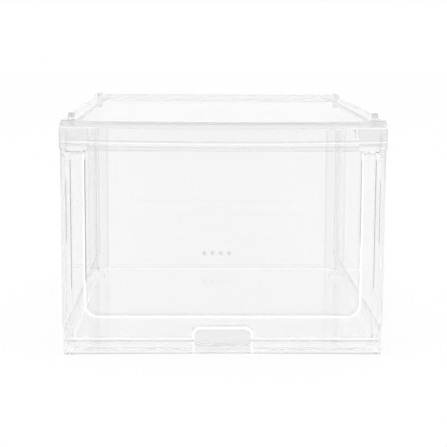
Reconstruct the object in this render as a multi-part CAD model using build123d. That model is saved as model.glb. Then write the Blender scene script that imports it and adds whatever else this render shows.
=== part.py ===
from build123d import *
import math
import os

# Clear stacking storage box: a tray base, two side panels and a back panel with cut corners carry a
# lift-off lid, and a dished front door swings up on two stub pins under the lid's header.
# Millimetres. x runs across the front, y from the front to the back, z up from the table.

# The whole box
WIDTH = 250.0
DEPTH = 350.0
TOP = 182.0
CORNER = 12.4
WALL = 2.3
FIT = 0.3
OVERRUN = 5.0

# How far each wall stands in from the plan of the lid
PANEL_INSET = 0.7
TRAY_INSET = 1.5

# Base tray
FLOOR = 2.4
FLOOR_RISE = 2.6
FOOT_WIDTH = 5.0
TRAY_HEIGHT = 22.0
RAIL_HEIGHT = 11.0
RAIL_FACE_STEP = 0.5
FOOT_BAND = 5.4
RAIL_ARCH = 0.8
LEDGE_DEPTH = 14.0
POCKET_DROP = 1.8
RIDGE_HEIGHT = 3.0
RIDGE_WALL = 1.2
TRAY_EDGE_RADIUS = 1.0

# Tongue along the foot of each side panel, in a groove of the tray
KEY_WALL = 0.8
KEY_DEPTH = 4.0
KEY_PLAY = 0.1

# Upper edge of the walls, inside the lid's skirt
SKIRT_HEIGHT = 22.0
SHOULDER = 3.0
COLLAR_WALL = 2.0
SEAM_RUN = 6.0
LAP_WALL = 1.8
LAP_REACH = 8.0
LAP_ROOT = 3.0

# Air vents of the back panel
VENT_COUNT = 4
VENT_PITCH = 8.6
VENT_RADIUS = 1.2
VENT_HEIGHT = 20.0

# Lid
CENTRE_DROP = 1.8
RAIL_WIDTH = 12.5
REAR_RIM_RISE = 2.0
SUNK_CORNER = 5.0
BEVEL_HEIGHT = 6.0
BEVEL_DEPTH = 3.0
END_BEVEL = 1.2
HEADER_SAG = 1.5
GROOVE_TOP = 14.2
GROOVE_HEIGHT = 4.2
GROOVE_DEPTH = 0.8
RIB_TOP = 15.3
RIB_WALL = 1.7
RIB_REACH = 3.0
HEM_REACH = 3.2
POCKET_SPAN = 24.0
POCKET_REACH = 7.0
POCKET_LOW = 13.0
POCKET_WALL = 1.6

# Stacking pegs on the lid and their sockets under the tray
PEG_RADIUS = 2.4
PEG_RISE = 5.0
PEG_INSET = 8.4
PEG_FRONT = 13.5
PEG_BACK = 39.6
PEG_TIP = 0.8
PEG_SHANK_STEP = 0.5
PEG_PLAY = 0.05
BOSS_WALL = 1.0
BOSS_DEPTH = 3.5
SOCKET_PLAY = 0.3
SOCKET_WALL = 1.7
SOCKET_SPARE = 0.4
SOCKET_ROOF = 1.2

# Front door
DOOR_SETBACK = 1.0
DOOR_DEPTH = 10.0
DOOR_SIDE_GAP = 1.4
DOOR_SIDE_WALL = 3.6
DOOR_LIFT = 0.6
DOOR_TOP_GAP = 2.2
DOOR_CORNER = 4.5
WINDOW_MARGIN = 14.1
WINDOW_FOOT = 18.0
WINDOW_CORNER = 10.0
RIM_WALL = 1.9
NOTCH_WIDTH = 43.2
NOTCH_HEIGHT = 19.6
NOTCH_CORNER = 4.0
NOTCH_WALL = 2.2

# Hinge of the door
HINGE_DROP = 3.0
STUB_RADIUS = 1.5
STUB_PLAY = 0.1
STUB_END_GAP = 0.4

# Stop flange of each side panel, behind the door
STOP_WIDTH = 5.0
STOP_GAP = 0.4
STOP_TOP_DROP = 9.0

# Places that follow from the sizes above
FRONT = -DEPTH / 2
BACK = DEPTH / 2
SEAM = BACK - CORNER - SEAM_RUN
SKIRT_BOTTOM = TOP - SKIRT_HEIGHT
SHOULDER_TOP = SKIRT_BOTTOM - FIT
CENTRE_TOP = TOP - CENTRE_DROP
CENTRE_BOTTOM = CENTRE_TOP - WALL
RAIL_BOTTOM = TOP - WALL
COLLAR_TOP = CENTRE_BOTTOM - FIT
COLLAR_INSET = WALL + FIT
PANEL_OUT = WIDTH / 2 - PANEL_INSET
PANEL_IN = PANEL_OUT - WALL
TRAY_OUT = WIDTH / 2 - TRAY_INSET
TRAY_IN = TRAY_OUT - WALL
COLLAR_OUT = WIDTH / 2 - COLLAR_INSET
COLLAR_IN = COLLAR_OUT - COLLAR_WALL
PANEL_BOTTOM = TRAY_HEIGHT + FIT
RAIL_IN = WIDTH / 2 - RAIL_WIDTH
FLOOR_TOP = FLOOR_RISE + FLOOR
REAR_RIM_TOP = TOP + REAR_RIM_RISE
PEG_X = WIDTH / 2 - PEG_INSET
PEG_PLACES = {
    "front_left": (-PEG_X, FRONT + PEG_FRONT),
    "front_right": (PEG_X, FRONT + PEG_FRONT),
    "back_left": (-PEG_X, BACK - PEG_BACK),
    "back_right": (PEG_X, BACK - PEG_BACK),
}
PEG_SHANK = PEG_RADIUS - PEG_SHANK_STEP
BOSS_BOTTOM = RAIL_BOTTOM - BOSS_DEPTH
DOOR_FACE = FRONT + DOOR_SETBACK
DOOR_BACK = DOOR_FACE + DOOR_DEPTH
DOOR_HALF = PANEL_IN - DOOR_SIDE_GAP
DOOR_BOTTOM = RAIL_HEIGHT + DOOR_LIFT
DOOR_TOP = SKIRT_BOTTOM - DOOR_TOP_GAP
WINDOW_HALF = DOOR_HALF - WINDOW_MARGIN
WINDOW_BOTTOM = DOOR_BOTTOM + WINDOW_FOOT
HINGE_Y = DOOR_FACE + HINGE_DROP
HINGE_Z = DOOR_TOP - HINGE_DROP
STOP_FRONT = DOOR_BACK + STOP_GAP
POCKET_TOP = NOTCH_HEIGHT - POCKET_DROP
POCKET_IN = WIDTH / 2 - POCKET_SPAN
SHOULDER_FRONT = FRONT + LEDGE_DEPTH


def block(x_low, x_high, y_low, y_high, z_low, z_high):
    """A straight block between two corners."""
    centre = Pos((x_low + x_high) / 2, (y_low + y_high) / 2, (z_low + z_high) / 2)
    return centre * Box(x_high - x_low, y_high - y_low, z_high - z_low)


def upright(radius, x, y, z_low, z_high):
    """A round post or hole along z."""
    return Pos(x, y, (z_low + z_high) / 2) * Cylinder(radius, z_high - z_low)


def crossbar(radius, x_low, x_high, y, z):
    """A round pin or hole along x."""
    turned = Rot(0, 90, 0) * Cylinder(radius, x_high - x_low)
    return Pos((x_low + x_high) / 2, y, z) * turned


def plan(inset):
    """The plan of the box, square in front and cut across its rear corners, drawn in by inset."""
    return back_cut_sheet(WIDTH / 2 - inset, BACK - inset, CORNER - inset * (2 - math.sqrt(2)))


def back_cut_sheet(half, back, cut):
    """A plan from the front to a place behind, with both rear corners cut off."""
    sheet = Pos(0, (FRONT + back) / 2) * Rectangle(2 * half, back - FRONT)
    return chamfer(sheet.vertices().group_by(Axis.Y)[-1], cut)


def wall_band(outer, inner, z_low, z_high):
    """The wall between two drawn-in plans, open in front."""
    return Pos(0, 0, z_low) * extrude(plan(outer) - plan(inner), z_high - z_low)


def slice_y(y_low, y_high):
    """All of the box between two places along its depth."""
    reach = WIDTH / 2 + OVERRUN
    return block(-reach, reach, y_low, y_high, -OVERRUN, TOP + OVERRUN)


def front_sheet(half, z_low, z_high, corner):
    """An outline of the front view with both lower corners rounded."""
    sheet = Pos(0, (z_low + z_high) / 2) * Rectangle(2 * half, z_high - z_low)
    return fillet(sheet.vertices().group_by(Axis.Y)[0], corner)


def notch_sheet(extra):
    """The outline of the finger notch above its floor, grown by extra."""
    low = FLOOR
    high = NOTCH_HEIGHT + extra
    sheet = Pos(0, (low + high) / 2) * Rectangle(NOTCH_WIDTH + 2 * extra, high - low)
    return fillet(sheet.vertices().group_by(Axis.Y)[-1], NOTCH_CORNER + extra)


def stand_up(sheet, y_low, y_high):
    """A front-view outline carried from one depth to another."""
    return extrude(Plane((0, y_high, 0), (1, 0, 0), (0, -1, 0)) * sheet, y_high - y_low)


def arch_cutter():
    """A wide shallow arch under the front rail."""
    half = TRAY_OUT
    radius = (half**2 + RAIL_ARCH**2) / (2 * RAIL_ARCH)
    bar = Rot(90, 0, 0) * Cylinder(radius, LEDGE_DEPTH)
    arch = Pos(0, FRONT + LEDGE_DEPTH / 2, RAIL_ARCH - radius) * bar
    return arch & block(-half, half, FRONT, FRONT + LEDGE_DEPTH, 0, FLOOR)


def socket_cup(x, y):
    """The cup that takes a peg of the box below, with its round hole."""
    depth = PEG_RISE + SOCKET_SPARE
    hole = PEG_RADIUS + SOCKET_PLAY
    cup = upright(hole + SOCKET_WALL, x, y, 0, depth + SOCKET_ROOF)
    return cup, upright(hole, x, y, 0, depth)


def finger_pocket():
    """The floor and walls round the finger notch in the tray, and the wall behind it."""
    half = NOTCH_WIDTH / 2
    rear = FRONT + LEDGE_DEPTH
    cheeks = [
        block(side - NOTCH_WALL, side, FRONT, rear, 0, RAIL_HEIGHT)
        for side in (-half, half + NOTCH_WALL)
    ]
    behind = block(-half - NOTCH_WALL, half + NOTCH_WALL, rear, rear + WALL, 0, POCKET_TOP)
    return cheeks + [behind, block(-half, half, FRONT, rear, 0, FLOOR)]


def base_tray():
    """Raised floor on a foot, low side walls, front rail with its notch, and four sockets."""
    tray = Pos(0, 0, FLOOR_RISE) * extrude(plan(TRAY_INSET), FLOOR)
    tray += wall_band(TRAY_INSET, TRAY_INSET + FOOT_WIDTH, 0, FLOOR_TOP)
    low_walls = wall_band(TRAY_INSET, TRAY_INSET + WALL, 0, TRAY_HEIGHT)
    tray += low_walls & slice_y(FRONT, SEAM - FIT)
    tray += block(-TRAY_OUT, TRAY_OUT, FRONT, FRONT + WALL, 0, RAIL_HEIGHT)
    ledge_floor = RAIL_HEIGHT - WALL
    tray += block(-TRAY_OUT, TRAY_OUT, FRONT, FRONT + LEDGE_DEPTH, ledge_floor, RAIL_HEIGHT)
    ridge_inset = PANEL_INSET + WALL + FIT
    ridge_top = FLOOR_TOP + RIDGE_HEIGHT
    ridge = wall_band(ridge_inset, ridge_inset + RIDGE_WALL, FLOOR_RISE, ridge_top)
    tray += ridge & slice_y(SEAM, BACK)
    tray = fillet(outer_foot_edges(tray), TRAY_EDGE_RADIUS)
    tray -= stand_up(notch_sheet(0), FRONT - OVERRUN, FRONT + LEDGE_DEPTH)
    for wall in finger_pocket():
        tray += wall
    tray -= rail_recess()
    tray -= arch_cutter()
    for x, y in PEG_PLACES.values():
        cup, hole = socket_cup(x, y)
        tray = tray + cup - hole
    return tray - key_grooves()


def outer_foot_edges(tray):
    """The two long lower edges of the tray's sides."""
    along = tray.edges().filter_by(Axis.Y)
    low = along.filter_by(lambda edge: abs(edge.center().Z) < FIT)
    return low.filter_by(lambda edge: abs(abs(edge.center().X) - TRAY_OUT) < FIT)


def rail_recess():
    """The shallow step in the rail's face above the foot band."""
    half = NOTCH_WIDTH / 2 + NOTCH_WALL
    face = FRONT + RAIL_FACE_STEP
    above = RAIL_HEIGHT + OVERRUN
    right = block(half, TRAY_IN, FRONT - OVERRUN, face, FOOT_BAND, above)
    return right + mirror(right, about=Plane.YZ)


def key_span():
    """Where the tongue of the right side panel lies across x."""
    return PANEL_IN, PANEL_IN + KEY_WALL


def key_grooves():
    """The grooves in the tray's low walls that take the panels' tongues."""
    low, high = key_span()
    bottom = PANEL_BOTTOM - KEY_DEPTH - KEY_PLAY
    top = TRAY_HEIGHT + OVERRUN
    front = DOOR_FACE - KEY_PLAY
    right = block(low - KEY_PLAY, high + KEY_PLAY, front, SEAM, bottom, top)
    return right + mirror(right, about=Plane.YZ)


def side_panel():
    """The right side wall with its tongues, shoulder, door stop and hinge eye."""
    rear = SEAM - FIT
    panel = block(PANEL_IN, PANEL_OUT, DOOR_FACE, rear, PANEL_BOTTOM, SHOULDER_TOP)
    low, high = key_span()
    key_rear = rear - KEY_PLAY
    panel += block(low, high, DOOR_FACE, key_rear, PANEL_BOTTOM - KEY_DEPTH, PANEL_BOTTOM)
    shelf = SHOULDER_TOP - SHOULDER
    panel += block(COLLAR_IN, PANEL_OUT, SHOULDER_FRONT, rear, shelf, SHOULDER_TOP)
    panel += block(COLLAR_IN, COLLAR_OUT, SHOULDER_FRONT, rear, shelf, COLLAR_TOP)
    stop_top = SHOULDER_TOP - STOP_TOP_DROP
    stop_in = PANEL_IN - STOP_WIDTH
    stop_back = STOP_FRONT + WALL
    panel += block(stop_in, PANEL_OUT, STOP_FRONT, stop_back, PANEL_BOTTOM, stop_top)
    eye = crossbar(STUB_RADIUS + STUB_PLAY, PANEL_IN - OVERRUN, PANEL_OUT + OVERRUN, HINGE_Y, HINGE_Z)
    return panel - eye


def seam_lap():
    """The strip of the back panel that laps behind a side panel, on the right."""
    lap_out = PANEL_IN - FIT
    lap_in = lap_out - LAP_WALL
    low = PANEL_BOTTOM
    high = SHOULDER_TOP - SHOULDER - FIT
    strip = block(lap_in, lap_out, SEAM - LAP_REACH, SEAM + LAP_ROOT, low, high)
    return strip + block(lap_in, PANEL_IN + FIT, SEAM, SEAM + LAP_ROOT, low, high)


def back_panel():
    """The back wall with its cut corners, laps, shoulder and vents."""
    inner = PANEL_INSET + WALL
    shelf = SHOULDER_TOP - SHOULDER
    collar_inner = COLLAR_INSET + COLLAR_WALL
    panel = wall_band(PANEL_INSET, inner, FLOOR_TOP + FIT, SHOULDER_TOP)
    panel += wall_band(PANEL_INSET, collar_inner, shelf, SHOULDER_TOP)
    panel += wall_band(COLLAR_INSET, collar_inner, shelf, COLLAR_TOP)
    panel = panel & slice_y(SEAM, BACK)
    lap = seam_lap()
    panel = panel + lap + mirror(lap, about=Plane.YZ)
    first = -(VENT_COUNT - 1) * VENT_PITCH / 2
    for number in range(VENT_COUNT):
        hole = Rot(90, 0, 0) * Cylinder(VENT_RADIUS, 2 * CORNER)
        panel -= Pos(first + number * VENT_PITCH, BACK, VENT_HEIGHT) * hole
    return panel


def header_section():
    """The header seen from the side at mid-width: bevel, face, groove, rib and hem."""
    drop = HEADER_SAG
    face = FRONT
    sunk = FRONT + GROOVE_DEPTH
    top = TOP - drop
    bevel_low = top - BEVEL_HEIGHT
    groove_high = top - GROOVE_TOP
    groove_low = groove_high - GROOVE_HEIGHT
    foot = SKIRT_BOTTOM - drop
    crest = FRONT + BEVEL_DEPTH
    inside = FRONT + WALL
    rib_high = top - RIB_TOP
    rib_low = rib_high - RIB_WALL
    hem_high = foot + WALL
    points = [
        (face, foot),
        (face, groove_low),
        (sunk, groove_low),
        (sunk, groove_high),
        (face, groove_high),
        (face, bevel_low),
        (crest, top),
        (crest + WALL, top),
        (inside, bevel_low),
        (inside, rib_high),
        (inside + RIB_REACH, rib_high),
        (inside + RIB_REACH, rib_low),
        (inside, rib_low),
        (inside, hem_high),
        (inside + HEM_REACH, hem_high),
        (inside + HEM_REACH, foot),
    ]
    return make_face(Plane.YZ * Polyline(*points, close=True))


def header():
    """The lid's front board, bowed down at mid-width like a very large ring."""
    half = WIDTH / 2
    radius = (half**2 + HEADER_SAG**2) / (2 * HEADER_SAG)
    hub = Axis((0, FRONT, TOP - HEADER_SAG + radius), (0, 1, 0))
    sweep_angle = 2 * math.degrees(math.asin((half + OVERRUN) / radius))
    ring = revolve(header_section(), hub, sweep_angle)
    ring = ring.rotate(hub, -sweep_angle / 2)
    return ring & block(-half, half, FRONT, BACK, 0, TOP + OVERRUN)


def end_bevel_cutter():
    """The slanted strip that the lid's right edge loses over its whole depth."""
    half = WIDTH / 2
    outline = Polyline(
        (half - END_BEVEL, TOP),
        (half, TOP - BEVEL_HEIGHT),
        (half + OVERRUN, TOP - BEVEL_HEIGHT),
        (half + OVERRUN, TOP + OVERRUN),
        (half - END_BEVEL, TOP + OVERRUN),
        close=True,
    )
    return stand_up(make_face(outline), FRONT - OVERRUN, BACK + OVERRUN)


def sunk_sheet(extra):
    """The plan of the lid's sunk centre, grown by extra."""
    return back_cut_sheet(RAIL_IN + extra, BACK - WALL + extra, SUNK_CORNER)


def border():
    """The raised band round the lid's sides and back, hollow beneath, with a lip behind the foot above."""
    height = TOP - CENTRE_BOTTOM
    band = Pos(0, 0, CENTRE_BOTTOM) * extrude(plan(0) - sunk_sheet(0), height)
    hollow = Pos(0, 0, CENTRE_BOTTOM) * extrude(plan(WALL) - sunk_sheet(WALL), RAIL_BOTTOM - CENTRE_BOTTOM)
    lip = TRAY_INSET - FIT
    rim = wall_band(0, lip, CENTRE_BOTTOM, REAR_RIM_TOP) & slice_y(BACK - CORNER, BACK)
    return (band + rim) & slice_y(FRONT + BEVEL_DEPTH, BACK), hollow


def end_pocket():
    """The small open-bottomed box behind the header's right end."""
    high = CENTRE_BOTTOM + WALL / 2
    low = TOP - POCKET_LOW
    rear = FRONT + WALL + POCKET_REACH
    out = WIDTH / 2 - WALL / 2
    shell = block(POCKET_IN, out, FRONT + WALL / 2, rear, low, high)
    return shell - block(
        POCKET_IN + POCKET_WALL,
        WIDTH / 2 - WALL,
        FRONT + WALL,
        rear - POCKET_WALL,
        low - OVERRUN,
        CENTRE_BOTTOM,
    )


def lid():
    """Top plate, raised border, skirt, bowed header, end pockets and peg bosses."""
    behind = slice_y(FRONT + BEVEL_DEPTH, BACK)
    plate = Pos(0, 0, CENTRE_BOTTOM) * extrude(plan(0), WALL) & behind
    skirt = wall_band(0, WALL, SKIRT_BOTTOM, CENTRE_TOP) & slice_y(FRONT + WALL / 2, BACK)
    band, hollow = border()
    pocket = end_pocket()
    pockets = pocket + mirror(pocket, about=Plane.YZ)
    cover = plate + skirt + band - (hollow & behind) + header() + pockets
    cutter = end_bevel_cutter()
    cover = cover - cutter - mirror(cutter, about=Plane.YZ)
    bore = PEG_SHANK + PEG_PLAY
    for x, y in PEG_PLACES.values():
        cover += upright(bore + BOSS_WALL, x, y, BOSS_BOTTOM, TOP)
        cover -= upright(bore, x, y, BOSS_BOTTOM - OVERRUN, TOP + OVERRUN)
    return cover


def stacking_peg(x, y):
    """A round peg that stands on the rail, with a thinner shank pressed into its boss."""
    peg = upright(PEG_RADIUS, x, y, TOP, TOP + PEG_RISE)
    peg = fillet(peg.edges().group_by(Axis.Z)[-1], PEG_TIP)
    return peg + upright(PEG_SHANK, x, y, BOSS_BOTTOM, TOP)


def door_shell():
    """The door's front frame with its turned-back sides and top."""
    outer = front_sheet(DOOR_HALF, DOOR_BOTTOM, DOOR_TOP, DOOR_CORNER)
    inner = front_sheet(
        DOOR_HALF - DOOR_SIDE_WALL, DOOR_BOTTOM - OVERRUN, DOOR_TOP - WALL, DOOR_CORNER - WALL
    )
    plate = stand_up(outer, DOOR_FACE, DOOR_FACE + WALL)
    return plate + stand_up(outer - inner, DOOR_FACE, DOOR_BACK)


def window_sheet(extra):
    """The outline of the sunk window, grown by extra and run past the door's top."""
    high = DOOR_TOP + OVERRUN
    return front_sheet(WINDOW_HALF + extra, WINDOW_BOTTOM - extra, high, WINDOW_CORNER + extra)


def window_pan():
    """The sunk window and the wall that carries it back from the frame."""
    half_wall = RIM_WALL / 2
    rim = window_sheet(half_wall) - window_sheet(-half_wall)
    pan = stand_up(rim, DOOR_FACE, DOOR_BACK)
    pan += stand_up(window_sheet(half_wall), DOOR_BACK - WALL, DOOR_BACK)
    reach = WIDTH / 2
    return pan & block(-reach, reach, DOOR_FACE, DOOR_BACK, 0, DOOR_TOP)


def front_door():
    """The dished door with its finger notch and its two hinge stubs."""
    door = door_shell() - stand_up(window_sheet(0), DOOR_FACE - OVERRUN, DOOR_BACK + OVERRUN)
    door += window_pan()
    door -= stand_up(notch_sheet(0), DOOR_FACE - OVERRUN, DOOR_BACK + OVERRUN)
    collar = stand_up(notch_sheet(NOTCH_WALL) - notch_sheet(0), DOOR_FACE, DOOR_BACK)
    reach = WIDTH / 2
    door += collar & block(-reach, reach, FRONT, BACK, DOOR_BOTTOM, TOP)
    door = fillet(top_front_edges(door), HINGE_DROP - FIT)
    stub_end = PANEL_OUT - STUB_END_GAP
    for side in (-1, 1):
        ends = sorted((side * (DOOR_HALF - WALL), side * stub_end))
        door += crossbar(STUB_RADIUS, *ends, HINGE_Y, HINGE_Z)
    return door


def top_front_edges(door):
    """The front upper edges of the door's frame, which turn past the header."""
    across = door.edges().filter_by(Axis.X)
    high = across.filter_by(lambda edge: abs(edge.center().Z - DOOR_TOP) < FIT)
    return high.filter_by(lambda edge: abs(edge.center().Y - DOOR_FACE) < FIT)


def all_parts():
    """Every piece under the name of its node."""
    right = side_panel()
    parts = {
        "base_tray": base_tray(),
        "right_side_panel": right,
        "left_side_panel": mirror(right, about=Plane.YZ),
        "back_panel": back_panel(),
        "lid": lid(),
        "front_door": front_door(),
    }
    for corner, (x, y) in PEG_PLACES.items():
        parts["stacking_peg_" + corner] = stacking_peg(x, y)
    return parts


os.makedirs("parts", exist_ok=True)
for node, piece in all_parts().items():
    export_step(piece, f"parts/{node}.step")
    print(node, round(piece.volume), len(piece.solids()))
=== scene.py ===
"""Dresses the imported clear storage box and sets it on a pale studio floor."""

import math
from typing import NamedTuple

import bpy
import numpy as np
from mathutils import Matrix

bl_info = {
    "name": "Clear storage box",
    "version": (1, 0, 0),
    "blender": (4, 5, 0),
    "location": "3D View > Sidebar > Storage box",
    "description": "Finishes a clear stacking storage box and its studio",
    "category": "Object",
}

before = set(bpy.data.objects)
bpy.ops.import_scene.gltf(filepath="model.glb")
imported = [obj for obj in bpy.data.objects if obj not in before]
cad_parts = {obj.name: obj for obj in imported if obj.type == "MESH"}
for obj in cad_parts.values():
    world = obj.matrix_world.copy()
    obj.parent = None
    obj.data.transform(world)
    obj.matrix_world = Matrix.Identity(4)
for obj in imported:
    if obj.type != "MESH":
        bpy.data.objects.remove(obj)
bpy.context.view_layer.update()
MM = 0.001

SIDE_NODES = ("left_side_panel", "right_side_panel")
SIDE, REAR, TRAY, LID, DOOR = range(5)
PEG_NODES = tuple(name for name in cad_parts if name.startswith("stacking_peg"))

HALF_WIDTH = 125 * MM
HEADER_BOW = 1.5 * MM
PEG_X = 116.6 * MM
PEG_Y = 148.45 * MM
PEG_MIDDLE = -13.05 * MM
NOTCH_SPREAD = 0.2 * MM
NOTCH_SOFT = 0.05 * MM

HAZE_CELLS = 12
HAZE_DETAIL = 3.0
HAZE_LEAST = 0.3

SENSOR_WIDTH = 36.0
SKY_DIMS_FROM = 0.35
SKY_DIMS_TO = 0.8
FLOOR_GREY = 0.9
BOUNCES = 40
BOUNCE_KINDS = (
    "max_bounces", "glossy_bounces", "transmission_bounces", "transparent_max_bounces",
)


class Step(NamedTuple):
    """A mark in millimetres that grows from nothing at its start to its share at its end."""

    start: float
    end: float
    share: float = 1.0


class Line(NamedTuple):
    """A mark in millimetres that has its share between two places and a soft edge outside."""

    low: float
    high: float
    soft: float
    share: float = 1.0


FRONT_FACE = Step(-173.4, -173.8)  # Along y, the front faces of the door and side panels.


class Sockets:
    """Adds nodes to one material or world and hands back their outputs."""

    def __init__(self, tree):
        self.tree = tree
        tree.nodes.clear()

    def add(self, kind, values=None, **settings):
        """A node of a kind, its settings made first and then its sockets filled."""
        node = self.tree.nodes.new(kind)
        for name, value in settings.items():
            setattr(node, name, value)
        for name, value in (values or {}).items():
            if isinstance(value, Value):
                value = value.socket
            if isinstance(value, bpy.types.NodeSocket):
                self.tree.links.new(value, node.inputs[name])
            else:
                node.inputs[name].default_value = value
        return node

    def value(self, kind, values=None, **settings):
        """One number that a new node gives."""
        return Value(self, self.add(kind, values, **settings).outputs[0])

    def coordinates(self):
        """The shaded point on the object, and its x, y and z."""
        spot = self.add("ShaderNodeTexCoord").outputs["Object"]
        parts = self.add("ShaderNodeSeparateXYZ", {0: spot})
        return spot, [Value(self, parts.outputs[axis]) for axis in "XYZ"]

    def noise(self, spot, size, detail=2.0):
        """A cloudy number between 0 and 1 with features of a size."""
        inputs = {"Vector": spot, "Scale": 1 / size, "Detail": detail}
        return self.value("ShaderNodeTexNoise", inputs)

    def mix_shaders(self, factor, first, second):
        """A surface between two."""
        return self.add("ShaderNodeMixShader", {0: factor, 1: first, 2: second}).outputs[0]


class Value:
    """A number in a node tree that takes part in plain sums."""

    def __init__(self, sockets, socket):
        self.sockets = sockets
        self.socket = socket

    def combine(self, operation, *numbers):
        """One Math node over some numbers."""
        inputs = dict(enumerate(numbers))
        return self.sockets.value("ShaderNodeMath", inputs, operation=operation)

    def __add__(self, other):
        return self.combine("ADD", self, other)

    def __sub__(self, other):
        return self.combine("SUBTRACT", self, other)

    def __rsub__(self, other):
        return self.combine("SUBTRACT", other, self)

    def __mul__(self, other):
        return self.combine("MULTIPLY", self, other)

    def __abs__(self):
        return self.combine("ABSOLUTE", self)

    def larger(self, *others):
        """The largest of this number and others."""
        largest = self
        for other in others:
            largest = self.combine("MAXIMUM", largest, other)
        return largest

    def smaller(self, other):
        """The smaller of this number and another."""
        return self.combine("MINIMUM", self, other)

    def root(self):
        """The square root."""
        return self.combine("SQRT", self)

    def fade(self, low, high):
        """0 below low, 1 above high and smooth between, or the other way round."""
        if low < high:
            ends = {"From Min": low, "From Max": high}
        else:
            ends = {"From Min": high, "From Max": low, "To Min": 1.0, "To Max": 0.0}
        inputs = {"Value": self, **ends}
        return self.sockets.value("ShaderNodeMapRange", inputs, interpolation_type="SMOOTHSTEP")

    def step(self, mark):
        """How strongly a Step marks this place."""
        return self.fade(mark.start * MM, mark.end * MM) * mark.share

    def line(self, mark):
        """How strongly a Line marks this place."""
        low, high, soft = mark.low * MM, mark.high * MM, mark.soft * MM
        return self.fade(low - soft, low) * self.fade(high + soft, high) * mark.share


class PlasticSettings(bpy.types.PropertyGroup):
    """How the clear plastic looks."""

    tint: bpy.props.FloatVectorProperty(
        name="Tint", description="Colour that a clear face lets through", subtype="COLOR",
        size=3, min=0, max=1, default=(0.997, 0.997, 0.998),
    )
    index: bpy.props.FloatProperty(
        name="Index", description="Refractive index of the plastic", min=1, max=2, default=1.49,
    )
    stray: bpy.props.FloatProperty(
        name="Stray share", description="Share of the light that a face lets straight through",
        subtype="FACTOR", min=0, max=1, default=0.06,
    )
    losses: bpy.props.FloatVectorProperty(
        name="Losses",
        description="Share of the stray light that sides, back, tray, lid and door swallow",
        size=5, min=0, max=1, default=(0.05, 0.5, 0.03, 0.05, 0.08),
    )
    hazes: bpy.props.FloatVectorProperty(
        name="Hazes", description="Typical roughness of sides, back, tray, lid and door",
        size=5, min=0, max=1, default=(0.03, 0.03, 0.06, 0.03, 0.03),
    )
    ripple: bpy.props.FloatProperty(
        name="Ripple", description="Height of the shallow moulding ripples",
        default=0.01 * MM, unit="LENGTH",
    )
    ripple_size: bpy.props.FloatProperty(
        name="Ripple size", description="Width of one moulding ripple",
        default=40 * MM, unit="LENGTH",
    )
    # Painted highlight: colour, glow and roughness of the white lines put on walls' edges seen
    # end-on, standing in for the light the walls pipe there.
    edge: bpy.props.FloatVectorProperty(
        name="Edge", description="Colour of the satin edges of walls seen end-on", subtype="COLOR",
        size=3, min=0, max=1, default=(0.98, 0.98, 0.98),
    )
    painted_glow: bpy.props.FloatProperty(
        name="Edge glow", description="Light that the walls pipe to their satin edges",
        min=0, max=1, default=0.1,
    )
    edge_roughness: bpy.props.FloatProperty(
        name="Edge roughness", description="Roughness of the satin edges",
        min=0, max=1, default=0.4,
    )
    # Painted shade: colour of the dark lines put on the box's edges where the clear plastic looks
    # dark.
    painted_shade: bpy.props.FloatVectorProperty(
        name="Deep", description="Colour of the deep edges, which swallow light", subtype="COLOR",
        size=3, min=0, max=1, default=(0.1, 0.1, 0.15),
    )


class OutlineSettings(bpy.types.PropertyGroup):
    """Where the outlines that the marks follow run, as in the moulded pieces."""

    window_half: bpy.props.FloatProperty(
        name="Window half width", description="Half the width of the sunk window",
        default=106.5 * MM, unit="LENGTH",
    )
    window_foot: bpy.props.FloatProperty(
        name="Window foot", description="Height of the window's lower edge",
        default=29.6 * MM, unit="LENGTH",
    )
    window_corner: bpy.props.FloatProperty(
        name="Window corner", description="Radius of the window's lower corners",
        default=10 * MM, unit="LENGTH",
    )
    rim: bpy.props.FloatProperty(
        name="Rim", description="Thickness of the window's rim", default=1.9 * MM, unit="LENGTH",
    )
    notch_half: bpy.props.FloatProperty(
        name="Notch half width", description="Half the width of the finger notch",
        default=21.6 * MM, unit="LENGTH",
    )
    notch_top: bpy.props.FloatProperty(
        name="Notch top", description="Height of the finger notch",
        default=19.6 * MM, unit="LENGTH",
    )
    notch_corner: bpy.props.FloatProperty(
        name="Notch corner", description="Radius of the notch's upper corners",
        default=4 * MM, unit="LENGTH",
    )
    notch_rim: bpy.props.FloatProperty(
        name="Notch rim", description="Thickness of the wall round the notch",
        default=2.2 * MM, unit="LENGTH",
    )
    vent_pitch: bpy.props.FloatProperty(
        name="Vent pitch", description="Distance between vent holes",
        default=8.6 * MM, unit="LENGTH",
    )
    vent_height: bpy.props.FloatProperty(
        name="Vent height", description="Height of the vent holes",
        default=20 * MM, unit="LENGTH",
    )
    vent_radius: bpy.props.FloatProperty(
        name="Vent radius", description="Radius of a vent hole", default=1.2 * MM, unit="LENGTH",
    )


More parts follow.
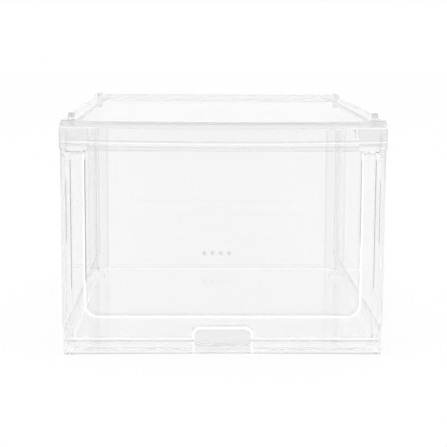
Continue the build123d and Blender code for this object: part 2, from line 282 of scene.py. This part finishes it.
class StudioSettings(bpy.types.PropertyGroup):
    """The camera, floor, sky and lamp."""

    focal: bpy.props.FloatProperty(name="Lens", description="Focal length", default=106.34)
    pitch: bpy.props.FloatProperty(
        name="Pitch", description="How far the camera looks down",
        subtype="ANGLE", default=math.radians(8.53),
    )
    yaw: bpy.props.FloatProperty(
        name="Yaw", description="How far the camera turns right",
        subtype="ANGLE", default=math.radians(1.12),
    )
    roll: bpy.props.FloatProperty(
        name="Roll", description="How far the camera leans",
        subtype="ANGLE", default=math.radians(0.26),
    )
    place: bpy.props.FloatVectorProperty(
        name="Camera place", description="Where the camera stands", subtype="TRANSLATION",
        default=(-19.4 * MM, -1176.6 * MM, 253.4 * MM),
    )
    floor_reach: bpy.props.FloatProperty(
        name="Floor reach", description="Half the width of the floor", default=6.0, unit="LENGTH",
    )
    floor_white: bpy.props.FloatProperty(
        name="Floor white", description="Share of the floor that stays white in the shadow",
        subtype="FACTOR", min=0, max=1, default=0.93,
    )
    sky_low: bpy.props.FloatProperty(
        name="Low sky", description="Strength of the sky at the horizon",
        min=0, max=2, default=1.0,
    )
    sky_high: bpy.props.FloatProperty(
        name="High sky", description="Strength of the sky overhead", min=0, max=2, default=0.62,
    )
    lamp_size: bpy.props.FloatProperty(
        name="Lamp size", description="Width of the overhead lamp", default=1.1, unit="LENGTH",
    )
    lamp_height: bpy.props.FloatProperty(
        name="Lamp height", description="Height of the overhead lamp",
        default=1.6, unit="LENGTH",
    )
    lamp_power: bpy.props.FloatProperty(
        name="Lamp power", description="Power of the overhead lamp", default=8.0, unit="POWER",
    )


class Place(NamedTuple):
    """The shaded point, and the outlines that the marks near it follow."""

    x: Value
    y: Value
    z: Value
    outline: OutlineSettings


def corner_distance(sideways, upward, radius):
    """Distance outside an outline whose two straight edges meet in a round corner.

    sideways and upward are how far a point lies past each edge; the rounded distance is the length
    of their parts past the corner's centre, plus the larger one where both are inside, less radius.
    """
    across, along = sideways + radius, upward + radius
    outside_across, outside_along = across.larger(0.0), along.larger(0.0)
    length = (outside_across * outside_across + outside_along * outside_along).root()
    return length + across.larger(along).smaller(0.0) - radius


def window_distance(place):
    """How far a point of the front lies outside the window's outline."""
    outline = place.outline
    sideways = abs(place.x) - outline.window_half
    return corner_distance(sideways, outline.window_foot - place.z, outline.window_corner)


def notch_distance(place):
    """How far a point of the front lies outside the finger notch."""
    outline = place.outline
    sideways = abs(place.x) - outline.notch_half
    return corner_distance(sideways, place.z - outline.notch_top, outline.notch_corner)


def peg_distance(place):
    """How far a point lies from the axis of the nearest peg."""
    across = abs(place.x) - PEG_X
    along = abs(place.y - PEG_MIDDLE) - PEG_Y
    return (across * across + along * along).root()


def header_rise(place):
    """Height of a point on the header, as if its lines didn't bow down at mid-width.

    Along each line z + bow (1 - (x / half width)^2) stays the line's height at the box's sides.
    """
    return place.z + (HEADER_BOW - place.x * place.x * (HEADER_BOW / HALF_WIDTH**2))


def notch_edge(place):
    """The ends of the walls round the finger notch, where painted highlights go."""
    half = place.outline.notch_rim / 2
    away = abs(notch_distance(place) - half)
    return away.fade(half + NOTCH_SPREAD, half - NOTCH_SOFT)


class DoorMarks:
    """The door's painted highlights and painted shade."""

    # Painted highlight marks: along y, along z, and how softly the rim's edges end.
    painted_highlight = 0.97
    face = Step(-172.5, -173.5)
    notch_face = Step(-173.2, -173.6)
    foot = Step(13.2, 12.8)
    rim_share = 0.95
    rim_fades_up = Step(80, 130, 0.12)
    rim_narrows_up = Step(40, 60, 0.5 * MM)
    rim_soft = 0.1 * MM
    rim_spread = 0.15 * MM

    # The painted shade line inside the window's rim: along x, y, the distance inside the window,
    # and z.
    left = Step(40, -40, 0.3)
    left_alone = Step(40, -40)
    flank = Step(-170.0, -173.9, 0.3)
    inside = Line(0.45, 1.3, 0.1)
    inside_share = 0.4
    inside_run = Line(60, 150, 4)
    right_from = Step(82, 92)

    # The painted shade lines at the door's sides: along the distance from the middle, and along z.
    side = Line(116.6, 117.1, 0.15)
    side_share = 0.42
    side_run = Line(54, 150, 4)
    side_grows_up = Step(60, 120, 0.1)
    outer_edge = Step(119.9, 120.1)
    outer_run = Line(94, 130, 12, 0.4)


def door_highlights(place):
    """The door's painted highlights: window rim, narrower where it stands upright, notch rim and
    foot.
    """
    marks = DoorMarks
    y, z = place.y, place.z
    half = place.outline.rim / 2
    away = window_distance(place)
    inner = (away + (half - z.step(marks.rim_narrows_up))).fade(-marks.rim_soft, marks.rim_soft)
    outer = away.fade(half + marks.rim_spread, half - marks.rim_soft)
    rim = inner * outer * (marks.rim_share - z.step(marks.rim_fades_up))
    notch = notch_edge(place) * y.step(marks.notch_face)
    return (rim.larger(z.step(marks.foot)) * y.step(marks.face)).larger(notch) * marks.painted_highlight


def door_shades(place):
    """The door's painted shade lines: inside the upright rims, along its sides and at their outer
    edges.
    """
    marks = DoorMarks
    y, z = place.y, place.z
    middle = abs(place.x)
    front = y.step(FRONT_FACE)
    strength = front * (place.x.step(marks.left) + marks.inside_share)
    inner = (0.0 - window_distance(place)).line(marks.inside) * strength.larger(y.step(marks.flank))
    run = z.line(marks.inside_run) * place.x.step(marks.left_alone).larger(z.step(marks.right_from))
    side = middle.line(marks.side) * front * z.line(marks.side_run)
    side = side * (z.step(marks.side_grows_up) + marks.side_share)
    outer = middle.step(marks.outer_edge) * front * z.line(marks.outer_run)
    return (inner * run).larger(side, outer)


class PanelMarks:
    """The painted highlight and painted shade on the side panels' front edges."""

    painted_highlight = 0.6
    grey = 0.1
    corner = Step(122.6, 123.8)  # Along the distance from the middle.
    corner_share = 0.03
    corner_grows_up = Step(110, 150, 0.14)


def side_highlights(place):
    """Painted highlight on the side panels' front edges."""
    return place.y.step(FRONT_FACE) * PanelMarks.painted_highlight


def side_shades(place):
    """Painted shade on the side panels' front edges, darkest at the outer corner."""
    marks = PanelMarks
    share = place.z.step(marks.corner_grows_up) + marks.corner_share
    corner = abs(place.x).step(marks.corner) * share
    return place.y.step(FRONT_FACE) * (corner + marks.grey)


class TrayMarks:
    """The tray's painted highlights and painted shade."""

    # On the rail: along y, along z, and along the distance from the middle.
    painted_highlight = 0.95
    highlight_face = Step(-174.2, -174.7)
    shade_face = Step(-174.2, -174.4, 0.4)
    highlight_line = Line(1.9, 2.5, 0.2)
    foot = Step(1.9, 1.5, 0.6)
    rail_top = Line(10.5, 11.1, 0.2, 0.8)
    end_highlight = Step(120.9, 121.5, 0.6)
    end_shade = Step(120.9, 121.5, 0.25)

    # The painted shade on the wall behind the notch: along y, along the distance from the middle,
    # and along z.
    wall = Line(-161.2, -160.8, 0.2)
    wall_side = Step(24.2, 23.6)
    wall_grey = 0.06
    wall_high = Step(12, 18, 0.06)
    wall_low = Step(10, 4, 0.03)


def tray_highlights(place):
    """The tray's painted highlights: the notch's walls, the rail's ends and the line above the
    foot.
    """
    marks = TrayMarks
    ends = abs(place.x).step(marks.end_highlight)
    edges = notch_edge(place).larger(place.z.line(marks.highlight_line), ends)
    return edges * place.y.step(marks.highlight_face) * marks.painted_highlight


def tray_shades(place):
    """The tray's painted shade: lines along the table and the rail's top, greyer ends and the wall
    behind the notch.
    """
    marks = TrayMarks
    middle, y, z = abs(place.x), place.y, place.z
    lines = z.step(marks.foot).larger(z.line(marks.rail_top), middle.step(marks.end_shade))
    behind = y.line(marks.wall) * middle.step(marks.wall_side)
    grey = z.step(marks.wall_high) + z.step(marks.wall_low) + marks.wall_grey
    return (lines * y.step(marks.shade_face)).larger(behind * grey)


class HeaderMarks:
    """The painted highlights and painted shade on the header's front."""

    # Along y, and a faint painted shade all over.
    face = Step(-171.5, -172.5)
    grey = 0.008

    # Along the rise, the height without the header's bow.
    bevel_highlight = Step(176.0, 176.6, 0.55)
    rib_highlight = Line(165.3, 165.7, 0.2, 0.85)
    bevel = Step(176.0, 176.6)
    bevel_share = 0.13
    bevel_grows_up = Step(176.5, 182.5, 0.18)
    over_rib = Line(166.5, 167.3, 0.3, 0.06)
    under_rib = Line(160.4, 163.0, 0.5, 0.06)
    foot = Line(159.9, 160.6, 0.2, 0.08)

    # Along z.
    crease_highlight = Line(176.0, 176.5, 0.15, 0.8)
    crease = Line(174.2, 174.8, 0.3, 0.02)
    end_share = 0.03
    end_grows_down = Step(175.6, 175.0, 0.04)

    # Along the distance from the middle.
    crease_ends = Step(88, 98)
    crease_middle = Step(80, 40)
    bevel_fades_out = Step(80, 112, 0.3)
    block_highlight = Step(103, 104, 0.4)
    block = Step(103, 104, 0.045)
    end_highlight = Step(119.6, 120.8, 0.5)
    end = Step(119.6, 120.8)
    corner = Step(122.0, 124.6, 0.12)


class TopMarks:
    """The painted highlights on the lid behind its header."""

    # Along y.
    behind_header = Step(-171, -169)
    rear = Step(171.5, 172.5)

    # Along z.
    plate = Step(178, 179, 0.08)
    over_plate = Step(180.0, 180.3)
    lip_share = 0.13
    lip_top = Step(182.2, 182.8, 0.1)

    # Along the distance from the rails' inner walls, and from the nearest peg's axis.
    rail_wall = 112.6 * MM
    rail = Step(0.4, 0.2, 0.65)
    bore = Step(3.2, 2.2, 0.6)


def header_highlights(place):
    """The header's painted highlights: bevel, crease, line over the rib, end blocks and ends."""
    marks = HeaderMarks
    middle, rise = abs(place.x), header_rise(place)
    crease = place.z.line(marks.crease_highlight) * middle.step(marks.crease_ends)
    lines = rise.step(marks.bevel_highlight).larger(crease, rise.line(marks.rib_highlight))
    ends = middle.step(marks.block_highlight).larger(middle.step(marks.end_highlight))
    return lines.larger(ends) * place.y.step(marks.face)


def lid_highlights(place):
    """The lid's painted highlights: header, top plate, steps at the rails, rear lip and peg bores.
    """
    marks = TopMarks
    y, z = place.y, place.z
    over_plate = z.step(marks.over_plate)
    rails = abs(abs(place.x) - marks.rail_wall).step(marks.rail) * over_plate
    lip = y.step(marks.rear) * over_plate * (z.step(marks.lip_top) + marks.lip_share)
    behind = y.step(marks.behind_header) * z.step(marks.plate).larger(rails, lip)
    return header_highlights(place).larger(behind, peg_distance(place).step(marks.bore))


def lid_shades(place):
    """The header's painted shade: bevel, crease, lines round the rib, foot, end blocks and ends."""
    marks = HeaderMarks
    middle, z, rise = abs(place.x), place.z, header_rise(place)
    bevel = rise.step(marks.bevel) * (rise.step(marks.bevel_grows_up) + marks.bevel_share)
    bevel = bevel * (1.0 - middle.step(marks.bevel_fades_out))
    crease = z.line(marks.crease) * middle.step(marks.crease_middle)
    lines = [rise.line(mark) for mark in (marks.over_rib, marks.under_rib, marks.foot)]
    ends = middle.step(marks.end) * (z.step(marks.end_grows_down) + marks.end_share)
    ends = ends + middle.step(marks.corner)
    front = bevel.larger(crease, *lines, middle.step(marks.block), ends)
    return place.y.step(marks.face) * (front + marks.grey)


class BackMarks:
    """The back panel's painted shade."""

    corner = Step(160.0, 161.0)  # Along y; the next three lie along the distance from the middle.
    slant = Step(112.4, 112.8, 0.03)
    slant_line = Line(112.3, 112.9, 0.2, 0.09)
    centre = Step(112, 40, 0.01)
    vent = Step(0.45, 0.15, 0.9)  # Along the distance from a vent hole's wall.


def back_shades(place):
    """Painted shade on the back panel: its slanted corners, with a crisp inner line, its vent
    holes, and a faint darkening towards the middle.
    """
    marks, outline = BackMarks, place.outline
    middle = abs(place.x)
    corner = place.y.step(marks.corner)
    across = abs(middle - outline.vent_pitch) - outline.vent_pitch / 2
    upward = place.z - outline.vent_height
    vent = ((across * across + upward * upward).root() - outline.vent_radius).step(marks.vent)
    slant = middle.step(marks.slant).larger(middle.line(marks.slant_line)) * corner
    return slant.larger(vent, middle.step(marks.centre))


class PegMarks:
    """The pegs' painted highlight and painted shade along z, and how much darker the painted shade
    is towards the front.
    """

    shank = Step(182.0, 181.7, 0.6)
    head = Step(182.6, 183.8)
    head_share = 0.07
    front = Step(10, -10, 0.09)


def peg_highlights(place):
    """Painted highlight on a peg's shank."""
    return place.z.step(PegMarks.shank)


def peg_shades(place):
    """Painted shade on a peg's head, darker on the front pegs."""
    marks = PegMarks
    return place.z.step(marks.head) * (place.y.step(marks.front) + marks.head_share)


def no_mark(place):
    """No edge stands out."""
    return place.x * 0.0


def clear_plastic(name, scene, kind, edges=no_mark, shades=no_mark):
    """Clear moulded plastic with faint ripples, painted highlights and painted shade on its edges.
    """
    plastic = scene.box_plastic
    loss, rough = plastic.losses[kind], plastic.hazes[kind]
    material = bpy.data.materials.new(name)
    material.use_nodes = True
    sockets = Sockets(material.node_tree)
    spot, coordinates = sockets.coordinates()
    place = Place(*coordinates, scene.box_outline)
    grain = sockets.noise(spot, plastic.ripple_size / HAZE_CELLS, HAZE_DETAIL)
    ripples = {"Height": sockets.noise(spot, plastic.ripple_size), "Distance": plastic.ripple}
    body = sockets.add(
        "ShaderNodeBsdfPrincipled",
        {
            "Base Color": (*plastic.tint, 1.0),
            "Roughness": grain * rough + HAZE_LEAST * rough,
            "IOR": plastic.index,
            "Transmission Weight": 1.0,
            "Normal": sockets.add("ShaderNodeBump", ripples).outputs["Normal"],
        },
    )
    stray = sockets.add("ShaderNodeBsdfTransparent", {"Color": (*[1 - loss] * 3, 1.0)})
    # Painted highlight: a white surface with a faint glow, mixed in where light runs along walls
    # seen end-on. Painted shade: a dark surface, mixed in where the clear edges look dark.
    painted_highlight, painted_shade = (
        sockets.add(
            "ShaderNodeBsdfPrincipled",
            {
                "Base Color": (*colour, 1.0),
                "Roughness": plastic.edge_roughness,
                "Emission Color": (*colour, 1.0),
                "Emission Strength": glow,
            },
        )
        for colour, glow in ((plastic.edge, plastic.painted_glow), (plastic.painted_shade, 0.0))
    )
    surface = sockets.mix_shaders(plastic.stray, body.outputs[0], stray.outputs[0])
    surface = sockets.mix_shaders(edges(place), surface, painted_highlight.outputs[0])
    surface = sockets.mix_shaders(shades(place), surface, painted_shade.outputs[0])
    sockets.add("ShaderNodeOutputMaterial", {"Surface": surface})
    return material


def dress(node, material):
    """Gives a carried-over node its finish."""
    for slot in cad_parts[node].material_slots:
        slot.material = material


class STORAGEBOX_OT_walls(bpy.types.Operator):
    """Finishes the side panels and the back panel."""

    bl_idname = "storagebox.walls"
    bl_label = "Finish the walls"

    def execute(self, context):
        scene = context.scene
        side = clear_plastic("clear_wall", scene, SIDE, side_highlights, side_shades)
        for node in SIDE_NODES:
            dress(node, side)
        dress("back_panel", clear_plastic("clear_back", scene, REAR, shades=back_shades))
        return {"FINISHED"}


class STORAGEBOX_OT_tray(bpy.types.Operator):
    """Finishes the base tray."""

    bl_idname = "storagebox.tray"
    bl_label = "Finish the tray"

    def execute(self, context):
        scene = context.scene
        dress("base_tray", clear_plastic("clear_tray", scene, TRAY, tray_highlights, tray_shades))
        return {"FINISHED"}


class STORAGEBOX_OT_lid(bpy.types.Operator):
    """Finishes the lid and its pegs."""

    bl_idname = "storagebox.lid"
    bl_label = "Finish the lid"

    def execute(self, context):
        scene = context.scene
        dress("lid", clear_plastic("clear_lid", scene, LID, lid_highlights, lid_shades))
        peg = clear_plastic("clear_peg", scene, LID, peg_highlights, peg_shades)
        for node in PEG_NODES:
            dress(node, peg)
        return {"FINISHED"}


class STORAGEBOX_OT_door(bpy.types.Operator):
    """Finishes the front door."""

    bl_idname = "storagebox.door"
    bl_label = "Finish the door"

    def execute(self, context):
        scene = context.scene
        dress("front_door", clear_plastic("clear_door", scene, DOOR, door_highlights, door_shades))
        return {"FINISHED"}


def place_camera(studio):
    """Stands the camera where the photograph was taken.

    ahead = (sin yaw cos pitch, cos yaw cos pitch, -sin pitch), right is level, up = right x ahead,
    and the roll turns right and up about ahead.
    """
    pitch, yaw, roll = studio.pitch, studio.yaw, studio.roll
    ahead = np.array(
        [math.sin(yaw) * math.cos(pitch), math.cos(yaw) * math.cos(pitch), -math.sin(pitch)]
    )
    right = np.array([math.cos(yaw), -math.sin(yaw), 0.0])
    up = np.cross(right, ahead)
    turn = np.eye(4)
    turn[:3, 0] = right * math.cos(roll) + up * math.sin(roll)
    turn[:3, 1] = up * math.cos(roll) - right * math.sin(roll)
    turn[:3, 2] = -ahead
    turn[:3, 3] = studio.place
    lens = bpy.data.cameras.new("camera")
    lens.lens = studio.focal
    lens.sensor_width = SENSOR_WIDTH
    camera = bpy.data.objects.new("camera", lens)
    camera.matrix_world = Matrix(turn.tolist())
    bpy.context.scene.collection.objects.link(camera)
    bpy.context.scene.camera = camera


def seen_rays(sockets):
    """1 for camera rays, and 1 for camera, mirror and glass rays; 0 for the rest."""
    rays = sockets.add("ShaderNodeLightPath")
    kinds = ("Is Camera Ray", "Is Glossy Ray", "Is Transmission Ray")
    camera, glossy, through = (Value(sockets, rays.outputs[kind]) for kind in kinds)
    return camera, camera.larger(glossy, through)


def pale_sky(studio):
    """A sky that is white to the camera and at the horizon, and greyer overhead."""
    world = bpy.data.worlds.new("studio")
    world.use_nodes = True
    sockets = Sockets(world.node_tree)
    ahead = sockets.add("ShaderNodeTexCoord").outputs["Generated"]
    height = Value(sockets, sockets.add("ShaderNodeSeparateXYZ", {0: ahead}).outputs["Z"])
    camera, seen = seen_rays(sockets)
    overhead = height.fade(SKY_DIMS_FROM, SKY_DIMS_TO) * (seen - camera)
    strength = studio.sky_low - overhead * (studio.sky_low - studio.sky_high)
    light = sockets.add("ShaderNodeBackground", {"Color": (1, 1, 1, 1), "Strength": strength})
    sockets.add("ShaderNodeOutputWorld", {"Surface": light.outputs[0]})
    bpy.context.scene.world = world


def soft_lamp(studio):
    """One wide soft lamp overhead."""
    light = bpy.data.lights.new("soft_lamp", "AREA")
    light.energy = studio.lamp_power
    light.size = studio.lamp_size
    lamp = bpy.data.objects.new("soft_lamp", light)
    lamp.location = (0.0, 0.0, studio.lamp_height)
    bpy.context.scene.collection.objects.link(lamp)


def pale_floor(studio):
    """A floor under the box, white where it is seen and pale grey where it is lit."""
    reach = studio.floor_reach
    mesh = bpy.data.meshes.new("floor")
    corners = [(-reach, -reach, 0), (reach, -reach, 0), (reach, reach, 0), (-reach, reach, 0)]
    mesh.from_pydata(corners, [], [(0, 1, 2, 3)])
    floor = bpy.data.objects.new("floor", mesh)
    bpy.context.scene.collection.objects.link(floor)
    material = bpy.data.materials.new("floor")
    material.use_nodes = True
    sockets = Sockets(material.node_tree)
    _, seen = seen_rays(sockets)
    matt = sockets.add("ShaderNodeBsdfDiffuse", {"Color": (*[FLOOR_GREY] * 3, 1.0)})
    glow = sockets.add("ShaderNodeEmission", {"Color": (1.0, 1.0, 1.0, 1.0)})
    surface = sockets.mix_shaders(seen * studio.floor_white, matt.outputs[0], glow.outputs[0])
    sockets.add("ShaderNodeOutputMaterial", {"Surface": surface})
    mesh.materials.append(material)


class STORAGEBOX_OT_studio(bpy.types.Operator):
    """Sets up the floor, the light and the camera."""

    bl_idname = "storagebox.studio"
    bl_label = "Set the studio"

    def execute(self, context):
        scene = context.scene
        studio = scene.box_studio
        pale_floor(studio)
        pale_sky(studio)
        soft_lamp(studio)
        place_camera(studio)
        scene.view_settings.view_transform = "Standard"
        for kind in BOUNCE_KINDS:
            setattr(scene.cycles, kind, BOUNCES)
        return {"FINISHED"}


OPERATORS = (
    STORAGEBOX_OT_walls,
    STORAGEBOX_OT_tray,
    STORAGEBOX_OT_lid,
    STORAGEBOX_OT_door,
    STORAGEBOX_OT_studio,
)
GROUPS = {
    "box_plastic": PlasticSettings,
    "box_outline": OutlineSettings,
    "box_studio": StudioSettings,
}


class STORAGEBOX_PT_panel(bpy.types.Panel):
    """Lists the settings and the steps."""

    bl_label = "Storage box"
    bl_idname = "STORAGEBOX_PT_panel"
    bl_space_type = "VIEW_3D"
    bl_region_type = "UI"
    bl_category = "Storage box"

    def draw(self, context):
        for group, kind in GROUPS.items():
            for name in kind.__annotations__:
                self.layout.prop(getattr(context.scene, group), name)
        for operator in OPERATORS:
            self.layout.operator(operator.bl_idname)


CLASSES = (*GROUPS.values(), *OPERATORS, STORAGEBOX_PT_panel)


def register():
    for item in CLASSES:
        bpy.utils.register_class(item)
    for group, kind in GROUPS.items():
        setattr(bpy.types.Scene, group, bpy.props.PointerProperty(type=kind))


def unregister():
    for group in GROUPS:
        delattr(bpy.types.Scene, group)
    for item in reversed(CLASSES):
        bpy.utils.unregister_class(item)


def main():
    register()
    bpy.ops.storagebox.walls()
    bpy.ops.storagebox.tray()
    bpy.ops.storagebox.lid()
    bpy.ops.storagebox.door()
    bpy.ops.storagebox.studio()


if __name__ == "__main__":
    main()
